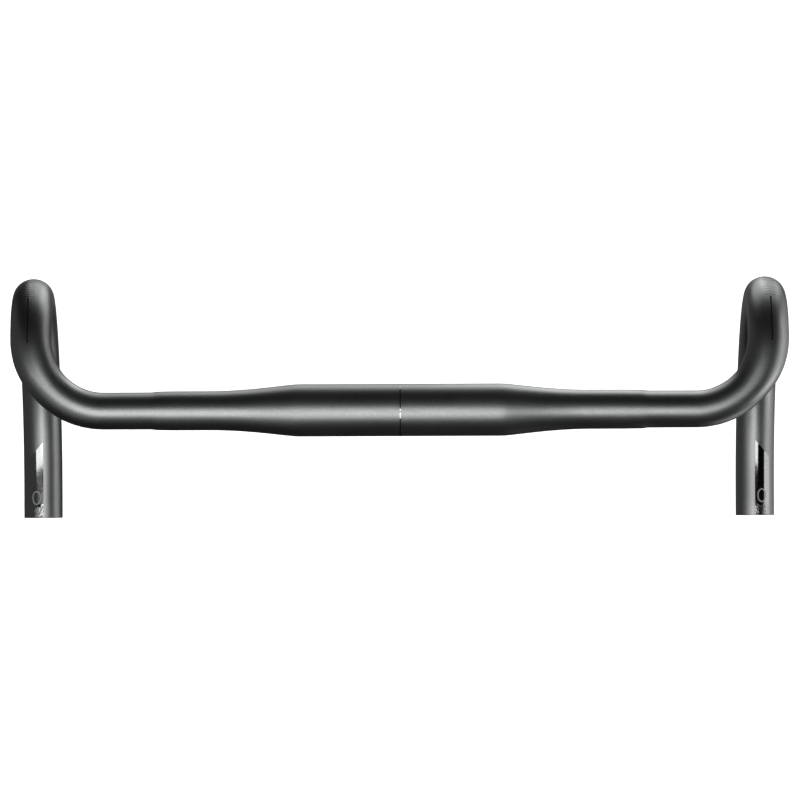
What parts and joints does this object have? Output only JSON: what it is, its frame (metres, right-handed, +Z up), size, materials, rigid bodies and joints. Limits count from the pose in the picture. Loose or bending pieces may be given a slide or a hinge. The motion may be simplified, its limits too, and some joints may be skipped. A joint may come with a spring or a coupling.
{
  "type": "drop handlebar",
  "caption": "Bare compact road drop handlebar: a tapered round tube with forward-bent shoulders, curved hooks, level drop ends and thin printed marks.",
  "frame": {"origin": "middle of the stem clamp zone, on the tube's axis", "axes": "+X towards the rider's right along the tops, +Y forwards, +Z up, with the drop ends level along Y"},
  "size_m": [0.4724, 0.1468, 0.148],
  "materials": {
    "bar_alloy": "sand-blasted and anodised dark grey, matte",
    "gloss_print": "gloss black print",
    "ring_print": "satin grey print"
  },
  "bodies": {
    "root": {"handlebar_tube": "bar_alloy", "centre_mark": "gloss_print", "left_lever_scale": "gloss_print", "right_lever_scale": "gloss_print", "left_drop_decal": "gloss_print", "right_drop_decal": "gloss_print", "left_decal_ring": "ring_print", "right_decal_ring": "ring_print"}
  },
  "joints": []
}
